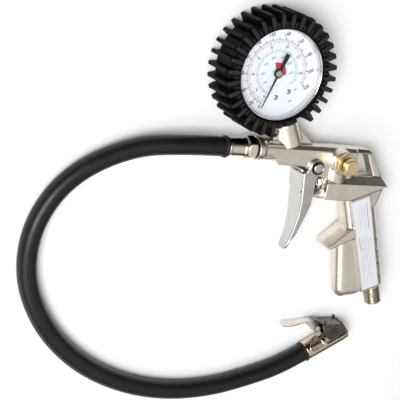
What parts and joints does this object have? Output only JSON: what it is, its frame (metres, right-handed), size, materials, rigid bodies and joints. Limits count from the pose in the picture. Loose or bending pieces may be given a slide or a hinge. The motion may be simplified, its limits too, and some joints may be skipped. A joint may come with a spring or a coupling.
{
  "type": "tyre inflator gun",
  "caption": "Hand-held tyre inflator: trigger gun with a rubber-booted dial gauge, deflate button, short hose and clip-on tyre chuck.",
  "frame": {"origin": "on the surface the gun lies on, under the middle of the gun without its hose and chuck", "axes": "+Z out of the gauge's face, the gun lying on its side; +Y up the gun, from the handle to the gauge; +X back along the barrel, away from the hose"},
  "size_m": [0.298, 0.2964, 0.0405],
  "materials": {
    "cast": "satin, fine cast grain",
    "trigger": "polished",
    "chrome": "bright plated",
    "dark_chrome": "dark bright plated stamping",
    "steel": "plain turned",
    "brass": "turned, lightly lacquered",
    "rubber": "matt moulded",
    "hose_rubber": "smooth extruded, slight sheen",
    "case": "black enamel",
    "dial": "matt white print ground",
    "lens": "clear",
    "black": "satin black",
    "label": "satin white film"
  },
  "bodies": {
    "gun": {"bezel_ring": "chrome", "bourdon_tube": "brass", "chuck_body": "cast", "chuck_collar": "rubber", "chuck_depressor": "brass", "chuck_pin": "steel", "chuck_seal": "rubber", "chuck_spring": "steel", "chuck_tail": "brass", "deflate_nut": "brass", "deflate_spring": "steel", "dial_plate": "dial", "dial_screws": "steel", "gauge_case": "case", "gauge_lens": "lens", "gauge_socket": "brass", "gun_body": "cast", "hose": "hose_rubber", "hose_collar": "rubber", "hose_ferrule": "chrome", "hose_nut": "chrome", "hose_tail": "brass", "inlet_filter": "brass", "inlet_nipple": "steel", "label_plate": "label", "lens_gasket": "rubber", "movement_frame": "brass", "muzzle_o_ring": "rubber", "pin_clip": "steel", "relief_plug": "rubber", "rubber_boot": "rubber", "stem_seal": "rubber", "trigger_pin": "steel", "valve_gland": "brass", "valve_seat": "brass", "valve_spring": "steel"},
    "trigger": {"trigger": "trigger"},
    "valve_stem": {"valve_stem": "steel", "valve_seal": "rubber"},
    "deflate_button": {"deflate_button": "brass", "deflate_seal": "rubber"},
    "sector_gear": {"sector_gear": "brass"},
    "pointer": {"pointer": "black", "pointer_arbor": "brass"},
    "chuck_clip": {"chuck_clip": "dark_chrome"}
  },
  "joints": [
    {"name": "trigger_hinge", "type": "hinge", "parent": "gun", "child": "trigger", "pos_m": [0.0012, 0.0002, 0.0155], "axis": [0, 0, 1], "range_deg": [0, 14], "stiffness_Nm_per_rad": 0.5, "springref_deg": -11.46},
    {"name": "valve_slide", "type": "slide", "parent": "gun", "child": "valve_stem", "axis": [1, 0, 0], "range_m": [0, 0.00362], "deforming": ["valve_spring"]},
    {"name": "deflate_slide", "type": "slide", "parent": "gun", "child": "deflate_button", "axis": [0, 0, -1], "range_m": [0, 0.0025], "stiffness_N_per_m": 400, "springref_m": -0.004, "deforming": ["deflate_spring"]},
    {"name": "sector_turn", "type": "hinge", "parent": "gun", "child": "sector_gear", "pos_m": [-0.02602, 0.07566, 0.0132], "axis": [0, 0, 1], "range_deg": [0, 33.4], "stiffness_Nm_per_rad": 0.005},
    {"name": "pointer_turn", "type": "hinge", "parent": "gun", "child": "pointer", "pos_m": [-0.0462, 0.0656, 0.0235], "axis": [0, 0, 1], "range_deg": [-267.3, 0]},
    {"name": "clip_hinge", "type": "hinge", "parent": "gun", "child": "chuck_clip", "pos_m": [0.04188, -0.13144, 0.0078], "axis": [0, 0, 1], "range_deg": [0, 18], "stiffness_Nm_per_rad": 0.3, "springref_deg": -17.19}
  ],
  "couplings": [
    {"joint": "valve_slide", "follows": "trigger_hinge", "m_per_rad": 0.014733},
    {"joint": "pointer_turn", "follows": "sector_turn", "ratio": -8}
  ]
}
